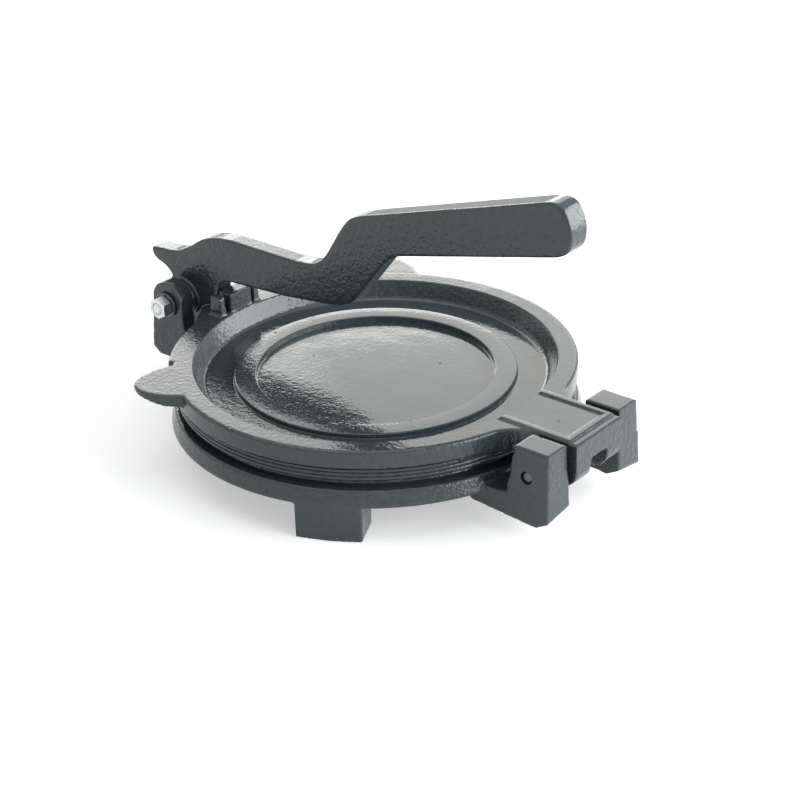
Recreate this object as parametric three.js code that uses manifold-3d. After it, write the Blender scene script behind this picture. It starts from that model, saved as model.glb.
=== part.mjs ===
// Poori press: two round cast-iron plates on a hinge, closed by a long cast lever.
// Millimetres, +Z up, +X from the lever's pivot to the hinge of the plates.
// The origin is on the table, under the middle of the whole press.

import * as THREE from 'three';
import { mergeVertices } from 'three/addons/utils/BufferGeometryUtils.js';
import Module from 'manifold-3d';

const wasm = await Module();
wasm.setup();

// Overall layout
const LENGTH = 312; // from the tip of the lever's tail to the end of the hinge arm
const DISC_X = 8.5; // common axis of the two plates
const PIVOT_X = -130.5; // axis of the lever's bolt
const PIVOT_Z = 50.7;
const EAR_CENTRE_Z = 52.2; // centre of the round tops of the ears and of the lever's hub
const HINGE_X = 139.5; // axis of the hinge pin
const HINGE_Z = 36.5;
const AROUND = 80; // facets round a plate
const BORE_REACH = 60; // half length of the bars that cut the bores
const GAP = 0.3; // air between pieces that touch on the real press

// Base casting
const BASE_FACE_Z = 34.3;
const BASE_FACE_R = 102.8;
const BASE_FLANGE_Z = 28.8;
const BASE_FLANGE_R = 110;
const BASE_FOOT_R = 112.5;
const BASE_SKIRT_Z = 19.3;
const BASE_WALL = 5.8;
const BASE_PLATE_T = 6;
const FOOT_ANGLES = [-63, 63, 180];
const FOOT_WIDTH = 35;
const FOOT_DEPTH = 24;

// Ears of the base that carry the hinge pin
const HINGE_EAR_IN = 23;
const HINGE_EAR_OUT = 38.8;
const HINGE_EAR_TOP = 51.9;
const HINGE_EAR_DRAFT = 0.065; // how far each face leans out for each millimetre down
const HINGE_SLOT_DRAFT = 0.045;
const HINGE_EAR_LIFT = 3; // how much higher the ear ends on its inner side

// Ears of the base that carry the lever's bolt
const LEVER_EAR_IN = 10.5;
const LEVER_EAR_OUT = 20.5;
const LEVER_EAR_R = 11.8;
const LEVER_EAR_BOTTOM = 16.4;

// Upper plate casting
const RIM_TOP = 51;
const RIM_R = 110;
const RIM_INNER_R = 98.6;
const RIM_UNDER_Z = 40.8;
const ARM_UNDER_Z = 38.6; // underside of the hinge arm and of the fork
const COLLAR_R = 108.2; // beaded ring below the rim, round the face of the base
const COLLAR_INNER_R = BASE_FACE_R + 1;
const COLLAR_Z = 33;
const COLLAR_BEADS = [34.6, 36.8, 39];
const COLLAR_BEAD_HALF = 0.5;
const COLLAR_GROOVE = 0.7;
const DISH_R = 93.6;
const DISH_Z = 40.7;
const RIDGE_OUTER_R = 77;
const RIDGE_INNER_R = 65.4;
const RIDGE_Z = 43.5;
const CENTRE_Z = 40;
const PRESS_FACE_Z = BASE_FACE_Z + 0.4;
const WING_ANGLE = 127;
const WING_T = 7;
const WING_TIP_T = 2.6;
const WING_REACH = 131.3; // from the plate's axis to the tip of a wing
const ARM_HALF = 20;
const ARM_END = LENGTH / 2;
const ARCH_HALF = 7; // half width of the gap between the knuckles
const KNUCKLE_R = 11;
const KNUCKLE_END_R = 10;
const BEAD_WIDTH = 3.2; // raised border on the arm
const BEAD_EDGE = ARM_HALF - 1;
const BEAD_END = 151;
const BEAD_START = 107;
const BEAD_HEIGHT = 0.9;
const FORK_IN = 8;
const FORK_END = -111.5;
const SHOULDER_R = 112.4; // the rim is wider between the fork and each wing
const SHOULDER_FROM = 139; // degrees
const SHOULDER_TO = 165.2;
const LUG_IN = 11.5;
const LUG_OUT = 15.5;
const LUG_TOP = 62.6;
const PAD_START = -100.5; // block under the lever, on the rim between the lugs
const PAD_END = -90.4;
const PAD_HALF = 8.6;
const PAD_TOP = 62.8;

// Lever casting
const LEVER_HALF = 5.5; // half thickness at the pivot
const GRIP_HALF = 7; // half thickness at the end of the grip
const GRIP_START = 110; // from the pivot to where the lever starts to thicken
const GRIP_LENGTH = 150;
const HUB_R = 13.4;
const BOSS_R = 10.5; // bosses of the hub, which fill the gap between the ears
const BOSS_HALF = LEVER_EAR_IN - 0.5;

// Bolt, nut, washers and pin
const BOLT_R = 3.2;
const BOLT_BORE_R = BOLT_R + 0.35;
const PIN_R = 3.2;
const PIN_BORE_R = PIN_R + 0.35;
const HEX_ACROSS = 11.1;
const HEAD_T = 4.4;
const NUT_T = 6;
const WASHER_R = 7.5;
const WASHER_T = 1.6;
const THREAD_PROUD = 0.8;
const PIN_END = 39.5; // almost flush with the outer faces of the hinge ears

// Finishes
const castIron = () => new THREE.MeshStandardMaterial({
  color: 0x3a4244, roughness: 0.45, metalness: 0.3 });
const zincSteel = () => new THREE.MeshStandardMaterial({
  color: 0xcdd1d2, roughness: 0.3, metalness: 0.9 });
const plainSteel = () => new THREE.MeshStandardMaterial({
  color: 0x6e7375, roughness: 0.4, metalness: 0.8 });

// A closed geometry as a solid that can be cut and joined
function solid(geometry) {
  const bare = geometry.clone();
  bare.deleteAttribute('normal');
  bare.deleteAttribute('uv');
  const merged = mergeVertices(bare, 1e-4);
  const index = merged.index.array;
  const triangles = [];
  for (let i = 0; i < index.length; i += 3) {
    const [a, b, c] = [index[i], index[i + 1], index[i + 2]];
    if (a !== b && b !== c && c !== a) triangles.push(a, b, c);
  }
  return new wasm.Manifold(new wasm.Mesh({
    numProp: 3,
    vertProperties: Float32Array.from(merged.attributes.position.array),
    triVerts: Uint32Array.from(triangles),
  }));
}

// A finished solid as a named mesh
function piece(name, body, material) {
  const cut = body.getMesh();
  const geometry = new THREE.BufferGeometry();
  geometry.setAttribute('position', new THREE.BufferAttribute(cut.vertProperties, 3));
  geometry.setIndex(new THREE.BufferAttribute(cut.triVerts, 1));
  geometry.computeVertexNormals();
  const mesh = new THREE.Mesh(geometry, material);
  mesh.name = name;
  return mesh;
}

const joined = (...bodies) => bodies.reduce((whole, body) => whole.add(body));

// A closed outline from a list of [x, y] corners
function outline(corners) {
  return new THREE.Shape(corners.map(([x, y]) => new THREE.Vector2(x, y)));
}

// An outline in plan, extruded from z0 to z1
function plan(shape, z0, z1, curveSegments = 12) {
  const geometry = new THREE.ExtrudeGeometry(shape, {
    depth: z1 - z0, bevelEnabled: false, curveSegments });
  return geometry.translate(0, 0, z0);
}

// An outline in side view (x, z), extruded from y0 to y1
function side(shape, y0, y1, curveSegments = 12) {
  const geometry = new THREE.ExtrudeGeometry(shape, {
    depth: y1 - y0, bevelEnabled: false, curveSegments });
  return geometry.rotateX(Math.PI / 2).translate(0, y1, 0);
}

// A profile of [radius, height] points, starting and ending on the axis, turned about Z at x
function turned(profile, x, segments = AROUND) {
  const points = profile.map(([r, z]) => new THREE.Vector2(r, z));
  const geometry = new THREE.LatheGeometry(points, segments);
  return geometry.rotateX(Math.PI / 2).translate(x, 0, 0);
}

// A round bar along Y, with an optional chamfer at each end
function bar(radius, y0, y1, x, z, chamfer = 0, segments = 32) {
  const profile = [[0, y0], [radius - chamfer, y0], [radius, y0 + chamfer],
    [radius, y1 - chamfer], [radius - chamfer, y1], [0, y1]];
  const points = profile.map(([r, y]) => new THREE.Vector2(r, y));
  return new THREE.LatheGeometry(points, segments).translate(x, 0, z);
}

// A long bar along Y that cuts a bore
const bore = (radius, x, z) => solid(bar(radius, -BORE_REACH, BORE_REACH, x, z));

// A hexagonal block along Y with its outer corners turned off at the chosen ends
function hexagon(y0, y1, x, z, turnedEnds) {
  const corner = HEX_ACROSS / Math.sqrt(3);
  const flat = HEX_ACROSS / 2;
  const slope = (corner - flat) * Math.tan(Math.PI / 6);
  const block = new THREE.CylinderGeometry(corner, corner, y1 - y0, 6)
    .translate(x, (y0 + y1) / 2, z);
  const low = turnedEnds.low ? [[flat * 0.97, y0], [corner, y0 + slope]] : [[corner + 1, y0]];
  const high = turnedEnds.high ? [[corner, y1 - slope], [flat * 0.97, y1]] : [[corner + 1, y1]];
  const points = [[0, y0], ...low, ...high, [0, y1]].map(([r, y]) => new THREE.Vector2(r, y));
  const cone = new THREE.LatheGeometry(points, 36).translate(x, 0, z);
  return solid(block).intersect(solid(cone));
}

// Moves each point of a geometry to the place that a function gives for it
function reshaped(geometry, place) {
  const position = geometry.attributes.position;
  const point = new THREE.Vector3();
  for (let i = 0; i < position.count; i += 1) {
    point.fromBufferAttribute(position, i);
    place(point);
    position.setXYZ(i, point.x, point.y, point.z);
  }
  return geometry;
}

// The same body on both sides of the middle plane
function bothSides(make) {
  const body = solid(make());
  return body.add(body.mirror([0, 1, 0]));
}

// Base casting: a shallow pan, face up, on three feet, with two pairs of ears
function makeBase() {
  const under = BASE_FACE_Z - BASE_PLATE_T;
  const pan = solid(turned([
    [0, under], [BASE_FACE_R - BASE_WALL, under], [BASE_FOOT_R - BASE_WALL, BASE_SKIRT_Z],
    [BASE_FOOT_R, BASE_SKIRT_Z], [BASE_FLANGE_R, BASE_FLANGE_Z], [BASE_FACE_R, BASE_FLANGE_Z],
    [BASE_FACE_R, BASE_FACE_Z], [0, BASE_FACE_Z]], DISC_X));

  const feet = FOOT_ANGLES.map((degrees) => makeFoot(degrees, under));

  const hingeEar = outline([
    [131, HINGE_EAR_TOP], [152.2, HINGE_EAR_TOP], [153.4, 14.4], [146, 10.4], [106, 13.4],
    [99, 18], [99, under + 1], [106, under + 1], [111, 24], [127.2, 25]].reverse());
  const middle = (HINGE_EAR_IN + HINGE_EAR_OUT) / 2;
  const hingeEars = bothSides(() => reshaped(side(hingeEar, HINGE_EAR_IN, HINGE_EAR_OUT), (point) => {
    const outside = point.y > middle;
    point.y += (outside ? HINGE_EAR_DRAFT : -HINGE_SLOT_DRAFT) * (HINGE_EAR_TOP - point.z);
    if (!outside && point.z < 14) point.z += HINGE_EAR_LIFT;
  }));

  const leverEar = new THREE.Shape();
  leverEar.moveTo(PIVOT_X + LEVER_EAR_R, EAR_CENTRE_Z);
  leverEar.absarc(PIVOT_X, EAR_CENTRE_Z, LEVER_EAR_R, 0, Math.PI, false);
  leverEar.lineTo(PIVOT_X - LEVER_EAR_R - 3.5, LEVER_EAR_BOTTOM + 4);
  leverEar.lineTo(PIVOT_X - LEVER_EAR_R + 2, LEVER_EAR_BOTTOM);
  leverEar.lineTo(-100, LEVER_EAR_BOTTOM);
  leverEar.lineTo(-92, BASE_SKIRT_Z);
  leverEar.lineTo(-92, under + 1);
  leverEar.lineTo(-99, under + 1);
  leverEar.quadraticCurveTo(PIVOT_X + LEVER_EAR_R, 29, PIVOT_X + LEVER_EAR_R, 42);
  const leverEars = bothSides(() => side(leverEar, LEVER_EAR_IN, LEVER_EAR_OUT));

  return joined(pan, ...feet, hingeEars, leverEars)
    .subtract(bore(PIN_BORE_R, HINGE_X, HINGE_Z))
    .subtract(bore(BOLT_BORE_R, PIVOT_X, PIVOT_Z));
}

// One foot: a block cast on to the skirt, its outer face round like the skirt
function makeFoot(degrees, under) {
  const half = FOOT_WIDTH / 2;
  const inner = BASE_FOOT_R - FOOT_DEPTH;
  const block = (outer, z0, z1) => {
    const reach = Math.sqrt(outer * outer - half * half);
    const turn = Math.asin(half / outer);
    const shape = new THREE.Shape();
    shape.moveTo(inner, -half + 1.5);
    shape.lineTo(inner + 1.5, -half);
    shape.lineTo(reach, -half);
    shape.absarc(0, 0, outer, -turn, turn, false);
    shape.lineTo(inner + 1.5, half);
    shape.lineTo(inner, half - 1.5);
    return solid(plan(shape, z0, z1, 6));
  };
  const foot = block(BASE_FOOT_R - 0.2, 0, BASE_SKIRT_Z + 0.2)
    .add(block(BASE_FOOT_R - BASE_WALL + 1, BASE_SKIRT_Z, (under + BASE_FLANGE_Z) / 2));
  return foot.rotate([0, 0, degrees]).translate([DISC_X, 0, 0]);
}

// Upper plate casting: dished disc with wings, hinge arm and the fork round the lever
function makeUpperPlate() {
  const grooveR = COLLAR_R - COLLAR_GROOVE;
  const beads = COLLAR_BEADS.flatMap((z) => [
    [COLLAR_R, z - COLLAR_BEAD_HALF], [COLLAR_R, z + COLLAR_BEAD_HALF],
    [grooveR, z + 2 * COLLAR_BEAD_HALF + 0.1]]);
  const disc = solid(turned([
    [0, PRESS_FACE_Z], [COLLAR_INNER_R, PRESS_FACE_Z], [COLLAR_INNER_R, COLLAR_Z],
    [grooveR, COLLAR_Z], ...beads, [grooveR, RIM_UNDER_Z], [RIM_R, RIM_UNDER_Z],
    [RIM_R, RIM_TOP - 0.8], [RIM_R - 0.8, RIM_TOP], [RIM_INNER_R, RIM_TOP], [DISH_R, DISH_Z],
    [RIDGE_OUTER_R + 0.6, DISH_Z], [RIDGE_OUTER_R - 0.4, RIDGE_Z],
    [RIDGE_INNER_R + 0.4, RIDGE_Z], [RIDGE_INNER_R - 0.8, CENTRE_Z], [0, CENTRE_Z]], DISC_X));

  const wings = [WING_ANGLE, -WING_ANGLE].map((degrees) => solid(makeWing())
    .rotate([0, 0, degrees]).translate([DISC_X, 0, 0]));

  const armPlan = new THREE.Shape();
  armPlan.moveTo(100, -54);
  armPlan.lineTo(106.5, -50);
  armPlan.quadraticCurveTo(113, -ARM_HALF - 1, 132, -ARM_HALF);
  armPlan.lineTo(ARM_END, -ARM_HALF);
  armPlan.lineTo(ARM_END, ARM_HALF);
  armPlan.lineTo(132, ARM_HALF);
  armPlan.quadraticCurveTo(113, ARM_HALF + 1, 106.5, 50);
  armPlan.lineTo(100, 54);
  const dishRoom = solid(turned([[0, 0], [RIM_INNER_R + 3, 0], [RIM_INNER_R + 3, 80], [0, 80]], DISC_X));
  const arm = solid(plan(armPlan, ARM_UNDER_Z, RIM_TOP, 8)).subtract(dishRoom);

  const knuckleOutline = new THREE.Shape();
  knuckleOutline.moveTo(HINGE_X - KNUCKLE_R, RIM_TOP - 4);
  knuckleOutline.lineTo(HINGE_X - KNUCKLE_R, HINGE_Z);
  knuckleOutline.absarc(HINGE_X, HINGE_Z, KNUCKLE_R, Math.PI, 1.5 * Math.PI, false);
  const [endX, endZ] = [ARM_END - KNUCKLE_END_R, HINGE_Z - KNUCKLE_R + KNUCKLE_END_R];
  knuckleOutline.lineTo(endX, HINGE_Z - KNUCKLE_R);
  knuckleOutline.absarc(endX, endZ, KNUCKLE_END_R, 1.5 * Math.PI, 2 * Math.PI, false);
  knuckleOutline.lineTo(ARM_END, RIM_TOP - 4);
  const knuckles = bothSides(() => side(knuckleOutline, ARCH_HALF, ARM_HALF, 8));

  const beadSide = bothSides(() => side(outline([
    [BEAD_START, RIM_TOP - 1], [BEAD_END, RIM_TOP - 1], [BEAD_END, RIM_TOP + BEAD_HEIGHT],
    [BEAD_START, RIM_TOP + BEAD_HEIGHT]]), BEAD_EDGE - BEAD_WIDTH, BEAD_EDGE));
  const beadEnd = solid(side(outline([
    [BEAD_END - BEAD_WIDTH, RIM_TOP - 1], [BEAD_END, RIM_TOP - 1],
    [BEAD_END, RIM_TOP + BEAD_HEIGHT],
    [BEAD_END - BEAD_WIDTH, RIM_TOP + BEAD_HEIGHT]]), -BEAD_EDGE, BEAD_EDGE));

  const forkPlan = new THREE.Shape();
  forkPlan.moveTo(FORK_END, FORK_IN);
  forkPlan.lineTo(-88, FORK_IN);
  forkPlan.lineTo(-66, 66);
  forkPlan.absarc(DISC_X, 0, SHOULDER_R, THREE.MathUtils.degToRad(SHOULDER_FROM),
    THREE.MathUtils.degToRad(SHOULDER_TO), false);
  forkPlan.lineTo(-105, 22);
  forkPlan.lineTo(FORK_END + 2, 13.5);
  forkPlan.quadraticCurveTo(FORK_END, 11, FORK_END, FORK_IN);
  const fork = bothSides(() => plan(forkPlan, ARM_UNDER_Z, RIM_TOP)).subtract(dishRoom);
  const lugs = bothSides(() => side(outline([
    [-101.4, RIM_TOP - 2], [-91.4, RIM_TOP - 2], [-92.4, LUG_TOP - 1], [-93.4, LUG_TOP],
    [-99.4, LUG_TOP], [-100.4, LUG_TOP - 1]]), LUG_IN, LUG_OUT));
  const pad = solid(side(outline([
    [PAD_START, RIM_TOP - 2], [PAD_END, RIM_TOP - 2], [PAD_END, PAD_TOP - 1],
    [PAD_END - 1, PAD_TOP], [PAD_START + 1, PAD_TOP], [PAD_START, PAD_TOP - 1]]),
  -PAD_HALF, PAD_HALF));

  return joined(disc, ...wings, arm, knuckles, beadSide, beadEnd, fork, lugs, pad)
    .subtract(bore(PIN_BORE_R, HINGE_X, HINGE_Z));
}

// One lifting wing, pointing along +X from the plate's axis, thinner towards its tip
function makeWing() {
  const flank = [[112, 18.2], [118.5, 15.8], [124.5, 12], [129.5, 6.5], [WING_REACH, 0]];
  const mirrored = flank.slice(0, -1).reverse().map(([x, y]) => [x, -y]);
  const points = [...flank, ...mirrored, [105, -21]].map(([x, y]) => new THREE.Vector2(x, y));
  const shape = new THREE.Shape();
  shape.moveTo(105, 21);
  shape.splineThru(points);
  return reshaped(plan(shape, RIM_TOP - WING_T, RIM_TOP, 3), (point) => {
    const out = THREE.MathUtils.clamp((point.x - RIM_R) / (WING_REACH - RIM_R), 0, 1);
    const thickness = THREE.MathUtils.lerp(WING_T, WING_TIP_T, out * out);
    if (point.z < RIM_TOP) point.z = RIM_TOP - thickness;
  });
}

// Lever casting, drawn round the middle of its hub: tail, hub, low arm, crank and rising grip
function makeLever() {
  const shape = new THREE.Shape();
  const at = (points) => points.map(([x, z]) => new THREE.Vector2(x, z));
  shape.moveTo(-25.5, 21.5);
  shape.quadraticCurveTo(-25.3, 23.4, -23, 23.4);
  shape.splineThru(at([[-6, 25.2], [5.5, 30.6], [15.5, 37], [27, 41.2], [39, 42.6]]));
  shape.lineTo(88, 42.7);
  shape.splineThru(at([[101, 44.6], [109, 50.3], [115, 58.8], [122, 69.6], [129, 77.4], [139, 81.8]]));
  shape.lineTo(256, 117.3);
  shape.bezierCurveTo(263, 119.3, 267, 117.6, 269.2, 113.5);
  shape.quadraticCurveTo(272.4, 108, 272.4, 103);
  shape.bezierCurveTo(272.4, 95, 270, 91.6, 261, 89.3);
  shape.lineTo(165, 65.2);
  shape.quadraticCurveTo(156, 63, 151, 56.5);
  shape.lineTo(131, 31.5);
  shape.quadraticCurveTo(126, 25.5, 112, 23);
  shape.lineTo(80, 19.2);
  shape.lineTo(34, 16.2);
  shape.quadraticCurveTo(27.5, 15.4, 27, 9);
  shape.quadraticCurveTo(26, -0.5, 15, -4);
  shape.lineTo(12, -6);
  shape.absarc(0, 0, HUB_R, -0.46, -3.84, true);
  shape.quadraticCurveTo(-12.5, 13, -18.5, 14.8);
  shape.quadraticCurveTo(-25.3, 16.4, -25.5, 21.5);
  const blade = reshaped(side(shape, -1, 1, 4), (point) => {
    const along = THREE.MathUtils.clamp((point.x - GRIP_START) / GRIP_LENGTH, 0, 1);
    point.y *= THREE.MathUtils.lerp(LEVER_HALF, GRIP_HALF, along);
  });
  const placed = solid(blade).translate([PIVOT_X, 0, EAR_CENTRE_Z]);
  const bosses = solid(bar(BOSS_R, -BOSS_HALF, BOSS_HALF, PIVOT_X, PIVOT_Z, 0.8));
  return placed.add(bosses).subtract(bore(BOLT_BORE_R, PIVOT_X, PIVOT_Z));
}

// Lever bolt with its head on the far side, the nut on the near side, and a washer under each
function makeBolt() {
  const headY = LEVER_EAR_OUT + GAP + WASHER_T + GAP;
  const endY = -(LEVER_EAR_OUT + GAP + WASHER_T + GAP + NUT_T + THREAD_PROUD);
  const head = hexagon(headY, headY + HEAD_T, PIVOT_X, PIVOT_Z, { high: true });
  const shank = solid(bar(BOLT_R, endY, headY + 1, PIVOT_X, PIVOT_Z, 0.8));
  return head.add(shank);
}

function makeNut() {
  const innerY = -(LEVER_EAR_OUT + GAP + WASHER_T + GAP);
  const hex = hexagon(innerY - NUT_T, innerY, PIVOT_X, PIVOT_Z, { low: true, high: true });
  return hex.subtract(bore(BOLT_BORE_R, PIVOT_X, PIVOT_Z));
}

function makeWasher(towards) {
  const near = LEVER_EAR_OUT + GAP;
  const [y0, y1] = towards > 0 ? [near, near + WASHER_T] : [-near - WASHER_T, -near];
  const ring = solid(bar(WASHER_R, y0, y1, PIVOT_X, PIVOT_Z, 0.2));
  return ring.subtract(bore(BOLT_BORE_R, PIVOT_X, PIVOT_Z));
}

function makePin() {
  return solid(bar(PIN_R, -PIN_END, PIN_END, HINGE_X, HINGE_Z, 0.6));
}

const press = new THREE.Group();
press.add(
  piece('base_casting', makeBase(), castIron()),
  piece('upper_plate', makeUpperPlate(), castIron()),
  piece('hinge_pin', makePin(), plainSteel()),
  piece('lever', makeLever(), castIron()),
  piece('lever_bolt', makeBolt(), zincSteel()),
  piece('washer_head_side', makeWasher(1), plainSteel()),
  piece('washer_nut_side', makeWasher(-1), plainSteel()),
  piece('lever_nut', makeNut(), zincSteel()),
);

export default press;
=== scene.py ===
"""Poori press: two hinged cast-iron plates closed by a long cranked lever."""

import math

import bpy
from mathutils import Matrix, Vector


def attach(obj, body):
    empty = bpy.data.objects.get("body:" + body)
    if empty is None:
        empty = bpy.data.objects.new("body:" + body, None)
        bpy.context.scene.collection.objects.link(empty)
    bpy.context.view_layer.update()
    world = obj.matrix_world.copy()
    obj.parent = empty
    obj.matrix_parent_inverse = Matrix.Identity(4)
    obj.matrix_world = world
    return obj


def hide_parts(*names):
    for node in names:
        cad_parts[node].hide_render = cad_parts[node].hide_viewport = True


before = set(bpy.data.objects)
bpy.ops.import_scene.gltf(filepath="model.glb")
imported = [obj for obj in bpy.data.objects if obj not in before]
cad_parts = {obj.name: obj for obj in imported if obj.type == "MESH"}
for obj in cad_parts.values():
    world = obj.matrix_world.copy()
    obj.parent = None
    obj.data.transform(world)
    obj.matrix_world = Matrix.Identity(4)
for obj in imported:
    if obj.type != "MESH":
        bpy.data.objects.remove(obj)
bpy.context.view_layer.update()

bl_info = {
    "name": "Poori press",
    "version": (1, 0, 0),
    "blender": (4, 5, 0),
    "location": "3D View > Sidebar > Poori press",
    "description": "Models a cast-iron poori press with its bolt and pin, on a studio floor",
    "category": "Add Mesh",
}

# Outlines are drawn in millimetres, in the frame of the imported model
MM = 0.001
DISC_X = 8.5  # common axis of the two plates
PIVOT_X, PIVOT_Z = -130.5, 50.7  # axis of the lever's bolt
EAR_Z = 52.2  # middle of the round tops of the lever ears and of the lever's round end
HINGE_X, HINGE_Z = 139.5, 36.5  # axis of the hinge pin
GAP = 0.3  # air between pieces that touch on the real press
BORE_R = 3.55  # radius of the bores for the pin and the bolt


def linear(code):
    """Turn an sRGB hex colour into linear red, green and blue."""
    parts = [int(code[i:i + 2], 16) / 255 for i in (1, 3, 5)]
    return [c / 12.92 if c <= 0.04045 else ((c + 0.055) / 1.055) ** 2.4 for c in parts]


class PooriPressSizes(bpy.types.PropertyGroup):
    """Main sizes of the press, as lengths in metres."""

    rim_radius: bpy.props.FloatProperty(
        name="Rim radius", description="Outer radius of the upper plate's rim",
        default=0.110, unit="LENGTH")
    rim_top: bpy.props.FloatProperty(
        name="Rim top", description="Height of the upper plate's rim above the table",
        default=0.051, unit="LENGTH")
    ridge_radius: bpy.props.FloatProperty(
        name="Ridge radius", description="Outer radius of the flat ridge in the dish",
        default=0.077, unit="LENGTH")
    foot_height: bpy.props.FloatProperty(
        name="Foot height", description="Height of the feet under the base's skirt",
        default=0.0193, unit="LENGTH")
    bolt_radius: bpy.props.FloatProperty(
        name="Bolt radius", description="Outer radius of the lever bolt's thread",
        default=0.0032, unit="LENGTH")
    hex_across: bpy.props.FloatProperty(
        name="Hexagon size", description="Width across flats of the bolt's head and nut",
        default=0.0111, unit="LENGTH")
    casting_grain: bpy.props.FloatProperty(
        name="Casting softness", description="Size below which the castings lose detail",
        default=0.0008, unit="LENGTH")


class PooriPressColours(bpy.types.PropertyGroup):
    """Colours of the finishes."""

    # The enamel's own colour is split in two: darker in the hollows of its orange peel as painted
    # shade, and lighter on its rises as painted light.
    iron_shaded_in_hollows: bpy.props.FloatVectorProperty(
        name="Iron, dark", description="Enamelled iron in its hollows",
        default=linear("#293335"), subtype="COLOR", min=0, max=1)
    iron_lit_on_rises: bpy.props.FloatVectorProperty(
        name="Iron, light", description="Enamelled iron on its rises",
        default=linear("#3A4548"), subtype="COLOR", min=0, max=1)
    zinc: bpy.props.FloatVectorProperty(
        name="Zinc", description="Zinc plate of the bolt and its nut",
        default=linear("#D2D5D6"), subtype="COLOR", min=0, max=1)
    pin_steel: bpy.props.FloatVectorProperty(
        name="Plain steel", description="Bare steel of the hinge pin and the washers",
        default=linear("#5C6265"), subtype="COLOR", min=0, max=1)
    floor: bpy.props.FloatVectorProperty(
        name="Floor", description="Studio floor",
        default=linear("#E4E5E6"), subtype="COLOR", min=0, max=1)


def smooth_line(points, steps=6):
    """Return points on a smooth curve that runs through the given ones."""
    ends = [points[0], *points, points[-1]]
    line = []
    for a, b, c, d in zip(ends, ends[1:], ends[2:], ends[3:]):
        a, b, c, d = (Vector(p) for p in (a, b, c, d))
        for i in range(steps):
            t = i / steps
            point = 2 * b + (c - a) * t + (2 * a - 5 * b + 4 * c - d) * t ** 2
            line.append(tuple(0.5 * (point + (3 * b - a - 3 * c + d) * t ** 3)))
    return line + [tuple(points[-1])]


def bezier(*controls, steps=8):
    """Return points along a Bezier curve, without its first point."""
    line = []
    for i in range(1, steps + 1):
        level = [Vector(p) for p in controls]
        while len(level) > 1:
            level = [a.lerp(b, i / steps) for a, b in zip(level, level[1:])]
        line.append(tuple(level[0]))
    return line


def arc(centre, radius, start, end, steps=16):
    """Return points on an arc, from one angle to the other in degrees."""
    angles = [math.radians(start + (end - start) * i / steps) for i in range(steps + 1)]
    return [(centre[0] + radius * math.cos(a), centre[1] + radius * math.sin(a)) for a in angles]


def new_loop(name, points, filled=True):
    """Add a ring of edges through points in millimetres, filled with one face or open."""
    bpy.ops.object.select_all(action="DESELECT")
    bpy.ops.mesh.primitive_circle_add(
        vertices=len(points), radius=MM, fill_type="NGON" if filled else "NOTHING")
    obj = bpy.context.object
    obj.name = obj.data.name = name
    for vertex, point in zip(obj.data.vertices, points):
        vertex.co = Vector(point) * MM
    return obj


def choose(obj, kind, test):
    """Open a piece in edit mode with only the elements selected that pass a test."""
    bpy.ops.object.select_all(action="DESELECT")
    bpy.context.view_layer.objects.active = obj
    obj.select_set(True)
    bpy.ops.object.mode_set(mode="EDIT")
    bpy.ops.mesh.select_mode(type=kind)
    bpy.ops.mesh.select_all(action="DESELECT")
    bpy.ops.object.mode_set(mode="OBJECT")
    elements = {"VERT": obj.data.vertices, "EDGE": obj.data.edges, "FACE": obj.data.polygons}
    for element in elements[kind]:
        element.select = test(element)
    bpy.ops.object.mode_set(mode="EDIT")


def close_up(obj):
    """Merge doubled points, turn all faces outwards and leave edit mode."""
    choose(obj, "VERT", lambda vertex: True)
    bpy.ops.mesh.remove_doubles(threshold=MM * 0.002)
    bpy.ops.mesh.delete_loose()
    bpy.ops.mesh.select_all(action="SELECT")
    bpy.ops.mesh.normals_make_consistent(inside=False)
    bpy.ops.object.mode_set(mode="OBJECT")
    return obj


def extruded(name, points, move):
    """Fill an outline and extrude it by a move in millimetres."""
    obj = new_loop(name, points)
    choose(obj, "FACE", lambda face: True)
    bpy.ops.mesh.extrude_region_move(TRANSFORM_OT_translate={"value": Vector(move) * MM})
    bpy.ops.object.mode_set(mode="OBJECT")
    return close_up(obj)


def plan(name, outline, low, high):
    """Extrude an outline in plan from one height to another."""
    return extruded(name, [(x, y, low) for x, y in outline], (0, 0, high - low))


def side(name, outline, inner, outer):
    """Extrude an outline in side view from one y to another."""
    return extruded(name, [(x, inner, z) for x, z in outline], (0, outer - inner, 0))


def turned(name, profile, axis="Z", centre=(DISC_X, 0), steps=160):
    """Spin a closed profile of radius and height about an axis along Z or Y."""
    if axis == "Z":
        points = [(centre[0] + r, centre[1], h) for r, h in profile]
        middle, direction = (centre[0], centre[1], 0), (0, 0, 1)
    else:
        points = [(centre[0] + r, h, centre[1]) for r, h in profile]
        middle, direction = (centre[0], 0, centre[1]), (0, 1, 0)
    obj = new_loop(name, points, filled=False)
    choose(obj, "EDGE", lambda edge: True)
    bpy.ops.mesh.spin(
        steps=steps, angle=math.tau, center=Vector(middle) * MM, axis=direction)
    bpy.ops.object.mode_set(mode="OBJECT")
    return close_up(obj)


def copied(obj, matrix):
    """Copy a piece with its own mesh, moved by a matrix."""
    twin = obj.copy()
    twin.data = obj.data.copy()
    bpy.context.collection.objects.link(twin)
    twin.data.transform(matrix)
    return close_up(twin)


def turned_about_disc(degrees):
    """Return the matrix that turns a part about the plates' common axis."""
    return Matrix.Translation((DISC_X * MM, 0, 0)) @ Matrix.Rotation(
        math.radians(degrees), 4, "Z")


def both_sides(obj):
    """Return a piece and its mirror image across the middle plane."""
    return [obj, copied(obj, Matrix.Diagonal((1, -1, 1, 1)))]


def apply_modifier(obj, kind, **settings):
    """Add a modifier with its settings and apply it."""
    bpy.ops.object.select_all(action="DESELECT")
    bpy.context.view_layer.objects.active = obj
    obj.select_set(True)
    modifier = obj.modifiers.new(kind.title(), kind)
    for name, value in settings.items():
        setattr(modifier, name, value)
    bpy.ops.object.modifier_apply(modifier=modifier.name)


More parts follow.
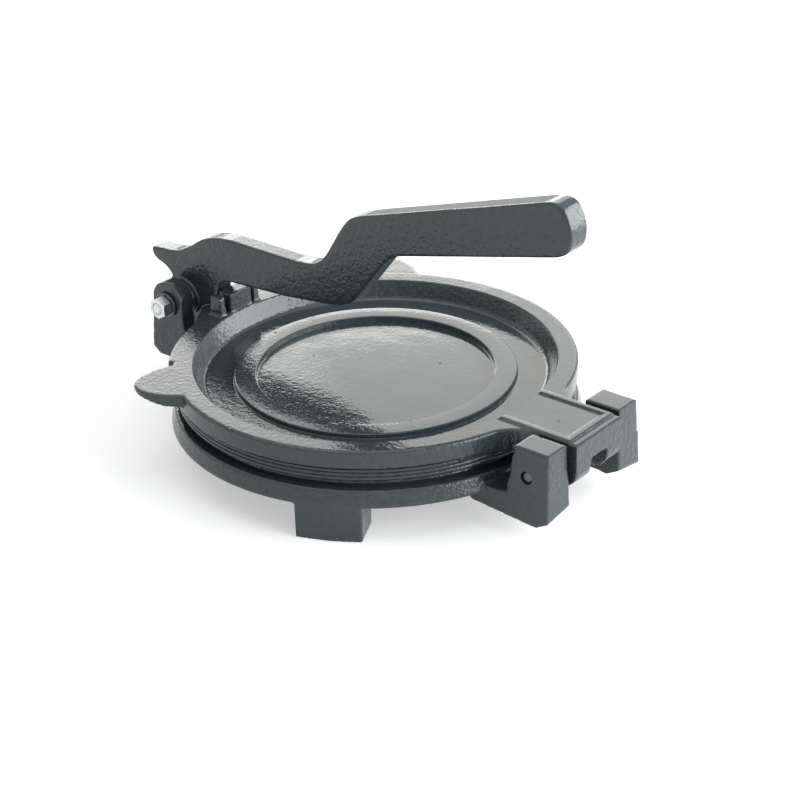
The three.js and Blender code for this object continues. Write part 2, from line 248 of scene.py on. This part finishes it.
def cut(obj, tool, how="DIFFERENCE"):
    """Cut a piece with another one and throw the other away."""
    apply_modifier(obj, "BOOLEAN", object=tool, operation=how, solver="MANIFOLD")
    bpy.data.objects.remove(tool)


def cast_in_one(name, parts, grain, kept):
    """Join overlapping parts into one casting whose edges and corners are all rounded."""
    bpy.ops.object.select_all(action="DESELECT")
    for part in parts:
        part.select_set(True)
    bpy.context.view_layer.objects.active = parts[0]
    bpy.ops.object.join()
    obj = parts[0]
    obj.name = obj.data.name = name
    apply_modifier(obj, "REMESH", mode="VOXEL", voxel_size=grain, adaptivity=0)
    apply_modifier(obj, "SMOOTH", factor=0.5, iterations=2)
    apply_modifier(obj, "DECIMATE", decimate_type="COLLAPSE", ratio=kept)
    return obj


def finish_piece(obj, body, material, slot, *nodes):
    """Shade a finished piece smooth, give it its material and its body, and hide the imported parts
    that it stands for.
    """
    bpy.ops.object.select_all(action="DESELECT")
    bpy.context.view_layer.objects.active = obj
    obj.select_set(True)
    bpy.ops.object.shade_smooth_by_angle(angle=math.radians(40))
    apply_modifier(obj, "WEIGHTED_NORMAL", keep_sharp=True)
    obj.data.materials.clear()
    obj.data.materials.append(material)
    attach(obj, body)
    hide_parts(*nodes)


def add(tree, kind, inputs=None, **settings):
    """Add a node with its settings, and set or link its input sockets."""
    node = tree.nodes.new(kind)
    for name, value in settings.items():
        setattr(node, name, value)
    for socket, value in (inputs or {}).items():
        if isinstance(value, bpy.types.NodeSocket):
            tree.links.new(value, node.inputs[socket])
        else:
            node.inputs[socket].default_value = value
    return node


def new_material(name):
    """Return a new material with its node tree, its shader and its object coordinates."""
    material = bpy.data.materials.new(name)
    material.use_nodes = True
    tree = material.node_tree
    coordinates = add(tree, "ShaderNodeTexCoord")
    return material, tree, tree.nodes["Principled BSDF"], coordinates.outputs["Object"]


def every(size):
    """Return a noise scale that repeats about every so many millimetres."""
    return 1 / (size * MM)


def enamelled_iron():
    """Black enamel over sand-cast iron.

    The sand leaves grains of about a millimetre that sparkle on the rough walls. The thick
    glossy enamel levels them to an orange peel of about 3 mm, least so near the front edge,
    and the casting itself waves a little every 20 mm, which breaks up the edges of all
    reflections. A few pinholes stay.
    """
    name = "black enamelled sand-cast iron"
    if name in bpy.data.materials:
        return bpy.data.materials[name]
    colours = bpy.context.scene.poori_press_colours
    material, tree, shader, place = new_material(name)
    coordinates = tree.nodes["Texture Coordinate"]
    upward = add(tree, "ShaderNodeSeparateXYZ", {"Vector": coordinates.outputs["Normal"]})
    level = add(tree, "ShaderNodeMath", {0: upward.outputs["Z"]}, operation="ABSOLUTE")
    across = add(tree, "ShaderNodeVectorMath", {0: place, 1: (0.35, 0.94, 0)},
                 operation="DOT_PRODUCT")
    levelled = add(tree, "ShaderNodeMapRange", {
        "Value": across.outputs["Value"], "From Min": -40 * MM, "From Max": -10 * MM,
        "To Min": 0.5, "To Max": 0.16})
    coarse = add(tree, "ShaderNodeMapRange", {
        "Value": level.outputs["Value"], "From Min": 0.7, "From Max": 0.98,
        "To Min": 1, "To Max": levelled.outputs["Result"]})
    grains = add(tree, "ShaderNodeTexNoise", {"Vector": place, "Scale": every(1.5), "Detail": 2})
    peel = add(tree, "ShaderNodeTexNoise", {"Vector": place, "Scale": every(3.2), "Detail": 3})
    waves = add(tree, "ShaderNodeTexNoise", {"Vector": place, "Scale": every(22), "Detail": 1})
    cells = add(tree, "ShaderNodeTexVoronoi", {"Vector": place, "Scale": every(17)})
    pinholes = add(tree, "ShaderNodeMapRange", {
        "Value": cells.outputs["Distance"], "From Min": 0.03, "From Max": 0.07,
        "To Min": 1, "To Max": 0}, interpolation_type="SMOOTHSTEP")
    # Painted shade and light: the enamel colour follows the peel's height, darker in its hollows and
    # lighter on its rises.
    peel_shading = add(tree, "ShaderNodeMix", {
        0: peel.outputs["Fac"], 6: (*colours.iron_shaded_in_hollows, 1), 7: (*colours.iron_lit_on_rises, 1)},
        data_type="RGBA")
    gloss = add(tree, "ShaderNodeMapRange", {
        "Value": waves.outputs["Fac"], "From Min": 0.3, "From Max": 0.7,
        "To Min": 0.02, "To Max": 0.05})
    satin = add(tree, "ShaderNodeMath", {
        0: coarse.outputs["Result"], 1: 0.1, 2: gloss.outputs["Result"]}, operation="MULTIPLY_ADD")
    wavy = add(tree, "ShaderNodeBump", {
        "Height": waves.outputs["Fac"], "Distance": 0.2 * MM, "Strength": 1})
    peeled = add(tree, "ShaderNodeBump", {
        "Height": peel.outputs["Fac"], "Distance": 0.4 * MM,
        "Strength": coarse.outputs["Result"], "Normal": wavy.outputs["Normal"]})
    grainy = add(tree, "ShaderNodeBump", {
        "Height": grains.outputs["Fac"], "Distance": 0.22 * MM,
        "Strength": coarse.outputs["Result"], "Normal": peeled.outputs["Normal"]})
    pitted = add(tree, "ShaderNodeBump", {
        "Height": pinholes.outputs["Result"], "Distance": 0.25 * MM, "Strength": 1,
        "Normal": grainy.outputs["Normal"]}, invert=True)
    tree.links.new(peel_shading.outputs[2], shader.inputs["Base Color"])
    tree.links.new(satin.outputs["Value"], shader.inputs["Roughness"])
    tree.links.new(pitted.outputs["Normal"], shader.inputs["Normal"])
    shader.inputs["IOR"].default_value = 1.5
    return material


def zinc_plate():
    """Bright zinc on mild steel: pale, slightly blue, with soft streaks from the bath."""
    name = "bright zinc-plated steel"
    if name in bpy.data.materials:
        return bpy.data.materials[name]
    material, tree, shader, place = new_material(name)
    streaks = add(tree, "ShaderNodeTexNoise", {"Vector": place, "Scale": every(1.5), "Detail": 3})
    gloss = add(tree, "ShaderNodeMapRange", {
        "Value": streaks.outputs["Fac"], "To Min": 0.2, "To Max": 0.4})
    uneven = add(tree, "ShaderNodeBump", {
        "Height": streaks.outputs["Fac"], "Distance": 0.03 * MM, "Strength": 1})
    tree.links.new(gloss.outputs["Result"], shader.inputs["Roughness"])
    tree.links.new(uneven.outputs["Normal"], shader.inputs["Normal"])
    colours = bpy.context.scene.poori_press_colours
    shader.inputs["Base Color"].default_value = (*colours.zinc, 1)
    shader.inputs["Metallic"].default_value = 1
    return material


def drawn_steel():
    """Bare steel of the pin and washers: grey, dull in patches under a thin film of oil."""
    name = "bare drawn steel"
    if name in bpy.data.materials:
        return bpy.data.materials[name]
    material, tree, shader, place = new_material(name)
    patches = add(tree, "ShaderNodeTexNoise", {"Vector": place, "Scale": every(1.2), "Detail": 2})
    gloss = add(tree, "ShaderNodeMapRange", {
        "Value": patches.outputs["Fac"], "To Min": 0.28, "To Max": 0.5})
    tree.links.new(gloss.outputs["Result"], shader.inputs["Roughness"])
    colours = bpy.context.scene.poori_press_colours
    shader.inputs["Base Color"].default_value = (*colours.pin_steel, 1)
    shader.inputs["Metallic"].default_value = 1
    return material


def bore(radius, centre, reach=60):
    """Return a round bar along Y that cuts a bore."""
    profile = [(0, -reach), (radius, -reach), (radius, reach), (0, reach)]
    return turned("bore", profile, "Y", centre, steps=48)


def lean(obj, at_y, top, slope):
    """Slide the points of a piece that lie at one y outwards, the more the lower they are."""
    def level(vertex):
        return round(vertex.co.z / MM, 3)

    here = [abs(v.co.y / MM - at_y) < 0.01 for v in obj.data.vertices]
    heights = sorted({level(v) for v in obj.data.vertices if here[v.index]})
    for height in heights:
        choose(obj, "VERT", lambda v: here[v.index] and level(v) == height)
        bpy.ops.transform.translate(value=(0, slope * (top - height) * MM, 0))
        bpy.ops.object.mode_set(mode="OBJECT")


class PRESS_OT_base(bpy.types.Operator):
    """Model the base casting: a pan on three feet, with ears for the pin and the bolt"""

    bl_idname = "poori_press.base"
    bl_label = "Base casting"

    def execute(self, context):
        sizes = context.scene.poori_press_sizes
        skirt = sizes.foot_height / MM
        under, face = 28.3, 33.9
        pan = turned("pan", [
            (0, under), (97, under), (106.7, skirt), (111.5, skirt), (112.5, skirt + 1),
            (110.2, 28), (109.4, 28.8), (103.3, 28.8), (102.8, 29.3), (102.8, face - 0.5),
            (102.3, face), (0, face)])
        parts = [pan]
        half, inner = 17.5, 88.5

        def foot_outline(outer):
            turn = math.degrees(math.asin(half / outer))
            return [(inner, 1.5 - half), (inner + 1.5, -half), *arc((0, 0), outer, -turn, turn, 10),
                    (inner + 1.5, half), (inner, half - 1.5)]

        foot = plan("foot", foot_outline(112.2), 0, skirt + 0.4)
        shank = plan("foot shank", foot_outline(107), skirt - 1, under + 0.3)
        for angle in (-63, 63, 180):
            place = turned_about_disc(angle)
            parts += [copied(foot, place), copied(shank, place)]
        bpy.data.objects.remove(foot)
        bpy.data.objects.remove(shank)

        top, inside, outside = 51.9, 23, 38.8
        ear = side("hinge ear", [
            (131, top), (152.2, top), (153.4, 14.4), (146, 10.4), (106, 13.4), (99, 18),
            (99, under + 1), (106, under + 1), (111, 24), (127.2, 25)], inside, outside)
        lean(ear, outside, top, 0.065)
        choose(ear, "VERT", lambda v: abs(v.co.y / MM - inside) < 0.01 and v.co.z / MM < 14.5)
        bpy.ops.transform.translate(value=(0, 0, 3 * MM))
        bpy.ops.object.mode_set(mode="OBJECT")
        lean(ear, inside, top, -0.045)
        parts += both_sides(close_up(ear))

        ear_r, low = 11.8, 16.4
        outline = [
            *arc((PIVOT_X, EAR_Z), ear_r, 0, 180, 20),
            (PIVOT_X - ear_r - 3.5, low + 4), (PIVOT_X - ear_r + 2, low), (-100, low),
            (-92, skirt), (-92, under + 1), (-99, under + 1),
            *bezier((-99, under + 1), (PIVOT_X + ear_r, 29), (PIVOT_X + ear_r, 42))]
        parts += both_sides(side("lever ear", outline, 10.5, 20.5))

        base = cast_in_one("base_pan", parts, sizes.casting_grain, 0.6)
        cut(base, bore(BORE_R, (HINGE_X, HINGE_Z)))
        cut(base, bore(BORE_R, (PIVOT_X, PIVOT_Z)))
        finish_piece(base, "base", enamelled_iron(), "cast_iron", "base_casting")
        return {"FINISHED"}


class PRESS_OT_upper_plate(bpy.types.Operator):
    """Model the upper plate: a beaded, dished disc with wings, a hinge arm, a fork and lugs"""

    bl_idname = "poori_press.upper_plate"
    bl_label = "Upper plate"

    def execute(self, context):
        sizes = context.scene.poori_press_sizes
        rim, top, ridge = sizes.rim_radius / MM, sizes.rim_top / MM, sizes.ridge_radius / MM
        under, face, arm_end = 38.6, 35.1, 156
        disc = turned("disc", [
            (0, face), (103.8, face), (104.2, 33), (107.4, 33), (107.4, 41), (rim - 0.4, 41),
            (rim, 41.5), (rim, top - 0.9), (rim - 0.9, top), (0, top)])
        parts = [disc, *self.wings(rim, top), *self.hinge_arm(top, under, arm_end)]

        fork = [*arc((DISC_X, 0), 104, 175.6, 139, 12), *arc((DISC_X, 0), 112.4, 139, 165.2, 12),
                (-105, 22), (-109.5, 13.5),
                *bezier((-109.5, 13.5), (-111.5, 11), (-111.5, 8), steps=4)]
        parts += both_sides(plan("fork pad", fork, under, top))
        lug = [(-101.4, top - 2), (-91.4, top - 2), (-92.4, 61.4), (-93.4, 62.6), (-99.4, 62.6),
               (-100.4, 61.4)]
        parts += both_sides(side("lug", lug, 11.3, 15.7))
        block_half, block_top = 8.6, 62.8
        block = [(-100.5, top - 2), (-91, top - 2), (-91, block_top), (-100.5, block_top)]
        parts.append(side("block under the lever", block, -block_half, block_half))

        plate = cast_in_one("dished_plate", parts, sizes.casting_grain, 0.6)
        cut(plate, turned("dish", [
            *[(r, 41 - (r / 64) ** 2) for r in (0, 16, 32, 44, 54, 64)], (65, 40.4),
            (65.2, 43), (65.8, 43.5), (ridge - 0.8, 43.5), (ridge - 0.1, 43), (ridge + 0.3, 41),
            (ridge + 0.8, 40.7), (91.8, 40.7), (93.1, 41), (94.1, 41.8), (94.9, 43.2),
            (98.3, 50.2), (99.3, top + 0.05), (99.3, 80), (0, 80)], steps=240))
        cut(plate, self.beads(), "UNION")
        cut(plate, bore(BORE_R, (HINGE_X, HINGE_Z)))
        finish_piece(plate, "plate", enamelled_iron(), "cast_iron", "upper_plate")
        return {"FINISHED"}

    def wings(self, rim, top):
        """Return the two lifting wings, thinner towards their tips."""
        tip, thickness = 131.3, 7
        flank = [(105, 21), (112, 18.2), (118.5, 15.8), (124.5, 12), (129.5, 6.5), (tip, 0)]
        mirrored = [(x, -y) for x, y in reversed(flank[:-1])]
        wing = plan("wing", smooth_line(flank + mirrored, 4), top - thickness, top)
        for vertex in wing.data.vertices:
            out = min(max((vertex.co.x / MM - rim) / (tip - rim), 0), 1)
            if vertex.co.z / MM < top - 1:
                vertex.co.z = (top - thickness + 4.4 * out ** 2) * MM
        pair = [copied(wing, turned_about_disc(angle)) for angle in (127, -127)]
        bpy.data.objects.remove(wing)
        return pair

    def beads(self):
        """Return the three beads that run round the collar below the rim."""
        line = [(106, 33.6)]
        for height in (34.6, 36.8, 39):
            line += [(107.2 + math.cos(a), height + math.sin(a)) for a in
                     (math.radians(degrees) for degrees in range(-80, 81, 20))]
        return turned("beads", [*line, (106, 40)], steps=240)

    def hinge_arm(self, top, under, end):
        """Return the arm, its raised border and its two knuckles."""
        half, arch, radius = 20, 7, 11
        outline = [
            (106.5, -50), *bezier((106.5, -50), (113, -21), (132, -half)), (end, -half),
            (end, half), (132, half), *bezier((132, half), (113, 21), (106.5, 50)),
            *arc((DISC_X, 0), 104, 27, -27, 12)]
        arm = plan("arm", outline, under, top)
        round_end = arc((end - 10, HINGE_Z - radius + 10), 10, 270, 360, 8)
        knuckle = side("knuckle", [
            (HINGE_X - radius, top - 4), *arc((HINGE_X, HINGE_Z), radius, 180, 270, 10),
            *round_end, (end, top - 4)], arch, half)
        border = side("border", [
            (107, top - 1), (151, top - 1), (151, top + 1.1), (107, top + 1.1)], 15.8, 19)
        crossbar = side("crossbar", [
            (147.8, top - 1), (151, top - 1), (151, top + 1.1), (147.8, top + 1.1)], -19, 19)
        return [arm, *both_sides(knuckle), *both_sides(border), crossbar]


class PRESS_OT_lever(bpy.types.Operator):
    """Model the lever: tail, hub, low arm, crank and grip, cast in one"""

    bl_idname = "poori_press.lever"
    bl_label = "Lever"

    def execute(self, context):
        sizes = context.scene.poori_press_sizes
        outline = [
            *bezier((-25.5, 21.5), (-25.3, 23.4), (-23, 23.4), steps=4),
            *smooth_line([(-23, 23.4), (-6, 25.2), (5.5, 30.6), (15.5, 37), (27, 41.2),
                          (39, 42.6)])[1:],
            *smooth_line([(88, 42.7), (101, 44.6), (109, 50.3), (115, 58.8), (122, 69.6),
                          (129, 77.4), (139, 81.8)]),
            (256, 117.3), *bezier((256, 117.3), (263, 119.3), (267, 117.6), (269.2, 113.5)),
            *bezier((269.2, 113.5), (272.4, 108), (272.4, 103), steps=6),
            *bezier((272.4, 103), (272.4, 95), (270, 91.6), (261, 89.3)),
            (165, 65.2), *bezier((165, 65.2), (156, 63), (151, 56.5), steps=6),
            (131, 31.5), *bezier((131, 31.5), (126, 25.5), (112, 23), steps=6),
            (80, 19.2), (34, 16.2), *bezier((34, 16.2), (27.5, 15.4), (27, 9), steps=6),
            *bezier((27, 9), (26, -0.5), (15, -4), steps=6),
            *arc((0, 0), 13.4, -26, -220, 24),
            *bezier((-10.3, 8.6), (-12.5, 13), (-18.5, 14.8), steps=5),
            *bezier((-18.5, 14.8), (-25.3, 16.4), (-25.5, 21.5), steps=6)]
        outline = [(PIVOT_X + x, EAR_Z + z) for x, z in outline]
        blade = side("blade", outline, -5.5, 5.5)
        for vertex in blade.data.vertices:
            along = min(max((vertex.co.x / MM - PIVOT_X - 110) / 150, 0), 1)
            vertex.co.y *= 1 + along * (7 / 5.5 - 1)
        choose(blade, "EDGE", lambda edge: abs(
            blade.data.vertices[edge.vertices[0]].co.y
            - blade.data.vertices[edge.vertices[1]].co.y) < MM)
        bpy.ops.mesh.bevel(offset=0.8 * MM, segments=2, affect="EDGES")
        bpy.ops.object.mode_set(mode="OBJECT")
        hub = turned("hub", [
            (0, -10), (9.7, -10), (10.5, -9.2), (10.5, 9.2), (9.7, 10), (0, 10)],
            "Y", (PIVOT_X, PIVOT_Z), steps=48)
        lever = cast_in_one("cranked_lever", [blade, hub], sizes.casting_grain * 0.8, 0.8)
        cut(lever, bore(BORE_R, (PIVOT_X, PIVOT_Z)))
        finish_piece(lever, "lever", enamelled_iron(), "cast_iron", "lever")
        return {"FINISHED"}


def hexagon(name, y0, y1, across):
    """Return a hexagonal block along Y with the corners of both ends turned off."""
    flat, corner = across / 2, across / math.sqrt(3)
    points = [(PIVOT_X + x, PIVOT_Z + z) for x, z in arc((0, 0), corner, 30, 330, 5)]
    block = side(name, points, y0, y1)
    fall = (corner - flat) * math.tan(math.radians(30))
    cone = turned("chamfer", [
        (0, y0), (flat * 0.97, y0), (corner + 0.1, y0 + fall), (corner + 0.1, y1 - fall),
        (flat * 0.97, y1), (0, y1)], "Y", (PIVOT_X, PIVOT_Z), steps=96)
    cut(block, cone, "INTERSECT")
    return block


class PRESS_OT_fasteners(bpy.types.Operator):
    """Model the lever's bolt, its nut and its two washers"""

    bl_idname = "poori_press.fasteners"
    bl_label = "Bolt, nut and washers"

    def execute(self, context):
        sizes = context.scene.poori_press_sizes
        radius, across = sizes.bolt_radius / MM, sizes.hex_across / MM
        axis = (PIVOT_X, PIVOT_Z)
        washer_t, head_t, nut_t, proud, pitch = 1.6, 4.4, 6, 0.8, 1.27
        ear = 20.5
        seat = ear + GAP + washer_t + GAP

        end = seat + nut_t + proud
        turns = int((end - ear) / pitch)
        thread = []
        for i in range(turns):
            crest = -end + 0.9 + i * pitch
            thread += [(radius - 0.55, crest - 0.5), (radius, crest - 0.1), (radius, crest + 0.1)]
        shank = turned("bolt shank", [
            (0, -end), (radius - 1, -end), *thread, (radius - 0.55, -end + 0.9 + turns * pitch),
            (radius, -ear + 2), (radius, seat + 1), (0, seat + 1)], "Y", axis, steps=48)
        head = hexagon("hex_bolt", seat, seat + head_t, across)
        cut(head, shank, "UNION")
        finish_piece(head, "base", zinc_plate(), "zinc_steel", "lever_bolt")

        nut = hexagon("hex_nut", -seat - nut_t, -seat, across)
        cut(nut, bore(radius + 0.35, axis))
        finish_piece(nut, "base", zinc_plate(), "zinc_steel", "lever_nut")

        for name, sign, node in (("washer_by_head", 1, "washer_head_side"),
                                 ("washer_by_nut", -1, "washer_nut_side")):
            low, high = sorted((sign * (ear + GAP), sign * (ear + GAP + washer_t)))
            washer = turned(name, [
                (radius + 0.35, low), (7.2, low), (7.5, low + 0.3), (7.5, high - 0.3), (7.2, high),
                (radius + 0.6, high), (radius + 0.35, high - 0.25)], "Y", axis, steps=72)
            finish_piece(washer, "base", drawn_steel(), "plain_steel", node)
        return {"FINISHED"}


class PRESS_OT_hinge_pin(bpy.types.Operator):
    """Model the hinge pin, with its ends chamfered and slightly domed"""

    bl_idname = "poori_press.hinge_pin"
    bl_label = "Hinge pin"

    def execute(self, context):
        radius, end = 3.2, 39.4
        pin = turned("domed_pin", [
            (0, -end), (1.6, -end + 0.1), (2.5, -end + 0.35), (radius, -end + 1),
            (radius, end - 1), (2.5, end - 0.35), (1.6, end - 0.1), (0, end)],
            "Y", (HINGE_X, HINGE_Z), steps=64)
        finish_piece(pin, "base", drawn_steel(), "plain_steel", "hinge_pin")
        return {"FINISHED"}


def soft_box(name, place, target, size, power, colour=(1, 1, 1)):
    """Add a rectangular area light that looks at a point and that the camera doesn't see."""
    light = bpy.data.lights.new(name, "AREA")
    light.shape, light.size, light.size_y, light.energy = "RECTANGLE", size[0], size[1], power
    light.color = colour
    obj = bpy.data.objects.new(name, light)
    obj.visible_camera = False
    bpy.context.collection.objects.link(obj)
    obj.location = place
    obj.rotation_euler = (Vector(target) - Vector(place)).to_track_quat("-Z", "Y").to_euler()


class PRESS_OT_stage(bpy.types.Operator):
    """Set up the floor, the white surroundings, the soft lights and the camera"""

    bl_idname = "poori_press.stage"
    bl_label = "Studio stage"

    def execute(self, context):
        bpy.ops.object.select_all(action="DESELECT")
        bpy.ops.mesh.primitive_plane_add(size=8)
        floor = bpy.context.object
        floor.name = "floor"
        material, tree, shader, _ = new_material("pale matt floor")
        colours = context.scene.poori_press_colours
        shader.inputs["Base Color"].default_value = (*colours.floor, 1)
        shader.inputs["Roughness"].default_value = 0.9
        glow = add(tree, "ShaderNodeMath", {0: self.seen(tree), 1: 0.42}, operation="MULTIPLY")
        shader.inputs["Emission Color"].default_value = (1, 1, 1, 1)
        tree.links.new(glow.outputs["Value"], shader.inputs["Emission Strength"])
        floor.data.materials.append(material)

        world = bpy.data.worlds.new("white studio")
        context.scene.world = world
        world.use_nodes = True
        tree = world.node_tree
        strength = add(tree, "ShaderNodeMapRange", {
            "Value": self.seen(tree), "To Min": 0.45, "To Max": 1})
        tree.links.new(strength.outputs["Result"], tree.nodes["Background"].inputs["Strength"])
        tree.nodes["Background"].inputs["Color"].default_value = (1, 1, 1, 1)

        middle = (0, 0, 0.05)
        soft_box("back soft box", (-0.95, 1.15, 0.75), middle, (1.5, 0.9), 8.2, (1, 1, 0.93))
        soft_box("low back soft box", (-1.25, 0.95, 0.52), middle, (1.4, 0.34), 3)
        soft_box("left back soft box", (-1.05, 0.83, 0.72), middle, (0.32, 0.18), 0.12)
        soft_box("right soft box", (1.25, 0.75, 0.55), middle, (2.2, 1.2), 52)
        soft_box("top soft box", (-0.2, -0.2, 1.6), middle, (1.4, 1.4), 5)

        self.camera(context)
        context.scene.view_settings.view_transform = "Standard"
        return {"FINISHED"}

    def seen(self, tree):
        """Return 1 where the camera sees a surface, directly, mirrored or through glass."""
        path = add(tree, "ShaderNodeLightPath")
        mirrored = add(tree, "ShaderNodeMath", {
            0: path.outputs["Is Camera Ray"], 1: path.outputs["Is Glossy Ray"]}, operation="MAXIMUM")
        through = add(tree, "ShaderNodeMath", {
            0: mirrored.outputs["Value"], 1: path.outputs["Is Transmission Ray"]},
            operation="MAXIMUM")
        return through.outputs["Value"]

    def camera(self, context):
        """Place the camera where the fit to the photograph puts it."""
        azimuth, elevation, roll = (math.radians(a) for a in (40.29, 27.42, -1.72))
        distance, shift_right, shift_up = 1.12317, 0.01269, -0.02509
        target = Vector((DISC_X, 0, 51)) * MM
        back = Vector((math.sin(azimuth) * math.cos(elevation),
                       -math.cos(azimuth) * math.cos(elevation), math.sin(elevation)))
        right = Vector((math.cos(azimuth), math.sin(azimuth), 0))
        up = back.cross(right)
        data = bpy.data.cameras.new("camera")
        data.sensor_width, data.lens = 36, 93.13
        camera = bpy.data.objects.new("camera", data)
        context.collection.objects.link(camera)
        place = target + back * distance + right * shift_right + up * shift_up
        x_axis = right * math.cos(roll) + up * math.sin(roll)
        y_axis = up * math.cos(roll) - right * math.sin(roll)
        camera.matrix_world = Matrix.Translation(place) @ Matrix(
            (x_axis, y_axis, back)).transposed().to_4x4()
        context.scene.camera = camera


class PRESS_PT_panel(bpy.types.Panel):
    """List the pieces of the press"""

    bl_idname = "PRESS_PT_panel"
    bl_label = "Poori press"
    bl_space_type = "VIEW_3D"
    bl_region_type = "UI"
    bl_category = "Poori press"

    def draw(self, context):
        for operator in OPERATORS:
            self.layout.operator(operator.bl_idname)


OPERATORS = (PRESS_OT_stage, PRESS_OT_base, PRESS_OT_upper_plate, PRESS_OT_lever,
             PRESS_OT_fasteners, PRESS_OT_hinge_pin)
CLASSES = (PooriPressSizes, PooriPressColours, *OPERATORS, PRESS_PT_panel)


def register():
    """Register the classes and hang the property groups on the scene."""
    for cls in CLASSES:
        bpy.utils.register_class(cls)
    bpy.types.Scene.poori_press_sizes = bpy.props.PointerProperty(type=PooriPressSizes)
    bpy.types.Scene.poori_press_colours = bpy.props.PointerProperty(type=PooriPressColours)


def unregister():
    """Take the property groups and the classes away again."""
    del bpy.types.Scene.poori_press_colours
    del bpy.types.Scene.poori_press_sizes
    for cls in reversed(CLASSES):
        bpy.utils.unregister_class(cls)


def main():
    """Build the stage and every piece."""
    register()
    bpy.ops.poori_press.stage()
    bpy.ops.poori_press.base()
    bpy.ops.poori_press.upper_plate()
    bpy.ops.poori_press.lever()
    bpy.ops.poori_press.fasteners()
    bpy.ops.poori_press.hinge_pin()


if __name__ == "__main__":
    main()
